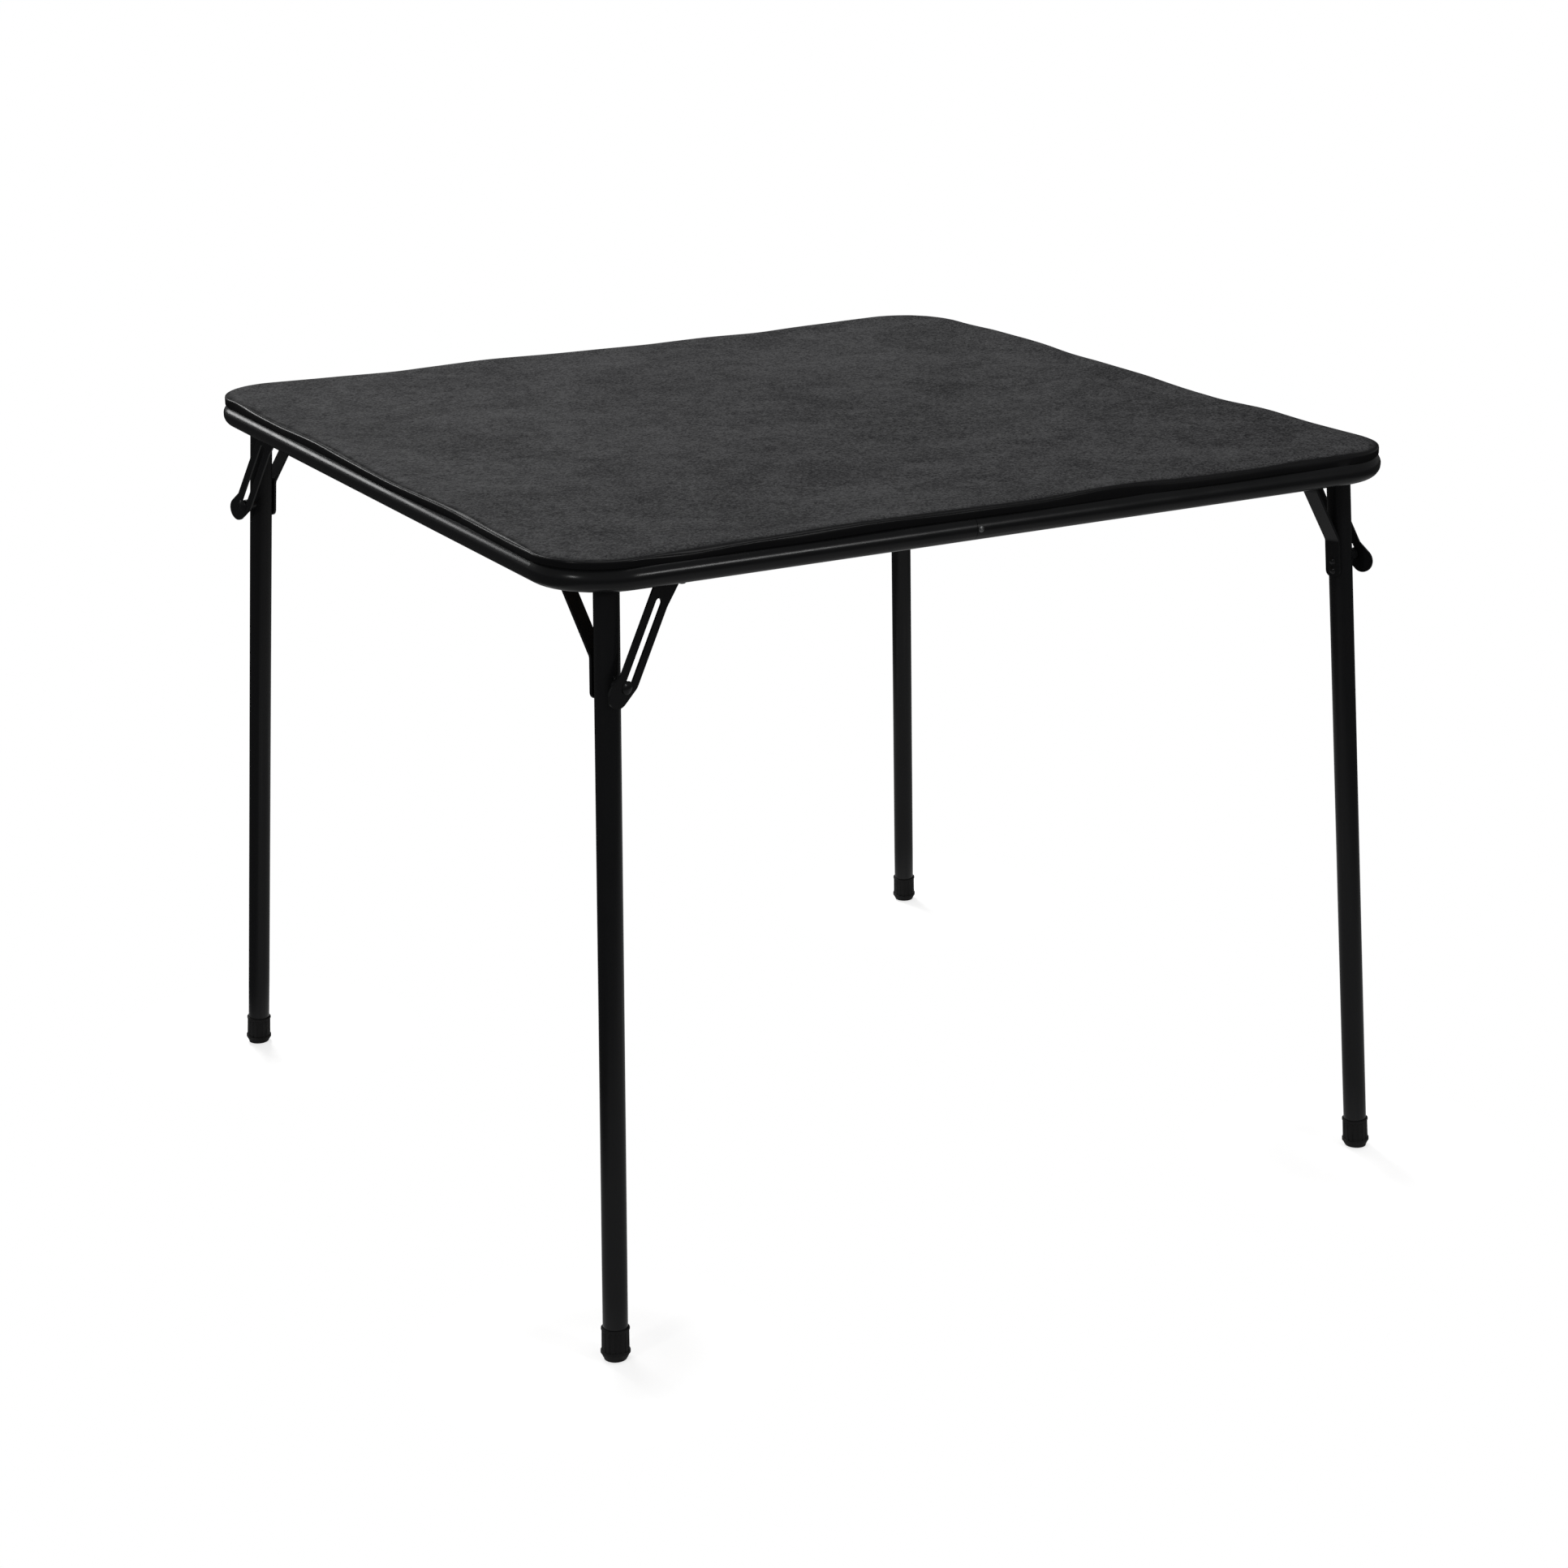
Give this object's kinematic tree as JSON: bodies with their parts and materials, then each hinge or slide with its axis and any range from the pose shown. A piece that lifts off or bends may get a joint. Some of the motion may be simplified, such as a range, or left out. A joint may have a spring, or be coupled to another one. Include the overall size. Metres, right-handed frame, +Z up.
{
  "type": "folding card table",
  "caption": "Square padded card table on a bent tube frame, with tube legs that fold under the top and lock open by slotted links.",
  "frame": {"origin": "on the floor under the middle of the top", "axes": "+Z up, +X to the right along the front rail, -Y towards the front; the joint of the frame tube is in the front rail"},
  "size_m": [0.8838, 0.8838, 0.7112],
  "materials": {
    "black_steel": "semi-gloss black powder coat",
    "zinc_steel": "dull zinc plate",
    "black_rubber": "matt moulded rubber",
    "hardboard": "raw pressed hardboard",
    "foam": "thin open-cell foam",
    "charcoal_vinyl": "mottled suede-look vinyl"
  },
  "bodies": {
    "frame": {"frame_tube": "black_steel", "frame_joint_sleeve": "zinc_steel", "frame_joint_rivet": "black_steel", "top_panel": "hardboard", "foam_pad": "foam", "vinyl_cover": "charcoal_vinyl", "panel_screws": "zinc_steel", "hinge_rod_front_left": "black_steel", "hinge_carrier_front_left": "black_steel", "rod_washers_front_left": "black_steel", "link_pivot_spacer_front_left": "black_steel", "link_pivot_rivet_front_left": "black_steel", "hinge_rod_front_right": "black_steel", "hinge_carrier_front_right": "black_steel", "rod_washers_front_right": "black_steel", "link_pivot_spacer_front_right": "black_steel", "link_pivot_rivet_front_right": "black_steel", "hinge_rod_back_right": "black_steel", "hinge_carrier_back_right": "black_steel", "rod_washers_back_right": "black_steel", "link_pivot_spacer_back_right": "black_steel", "link_pivot_rivet_back_right": "black_steel", "hinge_rod_back_left": "black_steel", "hinge_carrier_back_left": "black_steel", "rod_washers_back_left": "black_steel", "link_pivot_spacer_back_left": "black_steel", "link_pivot_rivet_back_left": "black_steel"},
    "leg_front_left": {"leg_tube_front_left": "black_steel", "foot_cap_front_left": "black_rubber", "brace_strap_front_left": "black_steel", "brace_rivets_front_left": "black_steel", "stud_spacer_front_left": "black_steel"},
    "link_front_left": {"lock_link_front_left": "black_steel"},
    "stud_front_left": {"lock_stud_front_left": "black_steel"},
    "leg_front_right": {"leg_tube_front_right": "black_steel", "foot_cap_front_right": "black_rubber", "brace_strap_front_right": "black_steel", "brace_rivets_front_right": "black_steel", "stud_spacer_front_right": "black_steel"},
    "link_front_right": {"lock_link_front_right": "black_steel"},
    "stud_front_right": {"lock_stud_front_right": "black_steel"},
    "leg_back_right": {"leg_tube_back_right": "black_steel", "foot_cap_back_right": "black_rubber", "brace_strap_back_right": "black_steel", "brace_rivets_back_right": "black_steel", "stud_spacer_back_right": "black_steel"},
    "link_back_right": {"lock_link_back_right": "black_steel"},
    "stud_back_right": {"lock_stud_back_right": "black_steel"},
    "leg_back_left": {"leg_tube_back_left": "black_steel", "foot_cap_back_left": "black_rubber", "brace_strap_back_left": "black_steel", "brace_rivets_back_left": "black_steel", "stud_spacer_back_left": "black_steel"},
    "link_back_left": {"lock_link_back_left": "black_steel"},
    "stud_back_left": {"lock_stud_back_left": "black_steel"}
  },
  "joints": [
    {"name": "leg_hinge_front_left", "type": "hinge", "parent": "frame", "child": "leg_front_left", "pos_m": [-0.375, -0.392, 0.6885], "axis": [0.309, -0.9511, 0], "range_deg": [0, 93.32]},
    {"name": "link_pivot_front_left", "type": "hinge", "parent": "frame", "child": "link_front_left", "pos_m": [-0.32227, -0.4022, 0.6885], "axis": [0.309, -0.9511, 0], "range_deg": [0, 120.69]},
    {"name": "stud_slide_front_left", "type": "slide", "parent": "link_front_left", "child": "stud_front_left", "axis": [0.4853, 0.1577, 0.86], "range_m": [0, 0.06117]},
    {"name": "leg_hinge_front_right", "type": "hinge", "parent": "frame", "child": "leg_front_right", "pos_m": [0.392, -0.375, 0.6885], "axis": [0.9511, 0.309, 0], "range_deg": [0, 93.32]},
    {"name": "link_pivot_front_right", "type": "hinge", "parent": "frame", "child": "link_front_right", "pos_m": [0.4022, -0.32227, 0.6885], "axis": [0.9511, 0.309, 0], "range_deg": [0, 120.69]},
    {"name": "stud_slide_front_right", "type": "slide", "parent": "link_front_right", "child": "stud_front_right", "axis": [-0.1577, 0.4853, 0.86], "range_m": [0, 0.06117]},
    {"name": "leg_hinge_back_right", "type": "hinge", "parent": "frame", "child": "leg_back_right", "pos_m": [0.375, 0.392, 0.6885], "axis": [-0.309, 0.9511, 0], "range_deg": [0, 93.32]},
    {"name": "link_pivot_back_right", "type": "hinge", "parent": "frame", "child": "link_back_right", "pos_m": [0.32227, 0.4022, 0.6885], "axis": [-0.309, 0.9511, 0], "range_deg": [0, 120.69]},
    {"name": "stud_slide_back_right", "type": "slide", "parent": "link_back_right", "child": "stud_back_right", "axis": [-0.4853, -0.1577, 0.86], "range_m": [0, 0.06117]},
    {"name": "leg_hinge_back_left", "type": "hinge", "parent": "frame", "child": "leg_back_left", "pos_m": [-0.392, 0.375, 0.6885], "axis": [-0.9511, -0.309, 0], "range_deg": [0, 93.32]},
    {"name": "link_pivot_back_left", "type": "hinge", "parent": "frame", "child": "link_back_left", "pos_m": [-0.4022, 0.32227, 0.6885], "axis": [-0.9511, -0.309, 0], "range_deg": [0, 120.69]},
    {"name": "stud_slide_back_left", "type": "slide", "parent": "link_back_left", "child": "stud_back_left", "axis": [0.1577, -0.4853, 0.86], "range_m": [0, 0.06117]}
  ],
  "couplings": [
    {"joint": "link_pivot_front_left", "follows": "leg_hinge_front_left", "ratio": 1.2932},
    {"joint": "stud_slide_front_left", "follows": "leg_hinge_front_left", "m_per_rad": 0.037541},
    {"joint": "link_pivot_front_right", "follows": "leg_hinge_front_right", "ratio": 1.2932},
    {"joint": "stud_slide_front_right", "follows": "leg_hinge_front_right", "m_per_rad": 0.037541},
    {"joint": "link_pivot_back_right", "follows": "leg_hinge_back_right", "ratio": 1.2932},
    {"joint": "stud_slide_back_right", "follows": "leg_hinge_back_right", "m_per_rad": 0.037541},
    {"joint": "link_pivot_back_left", "follows": "leg_hinge_back_left", "ratio": 1.2932},
    {"joint": "stud_slide_back_left", "follows": "leg_hinge_back_left", "m_per_rad": 0.037541}
  ]
}
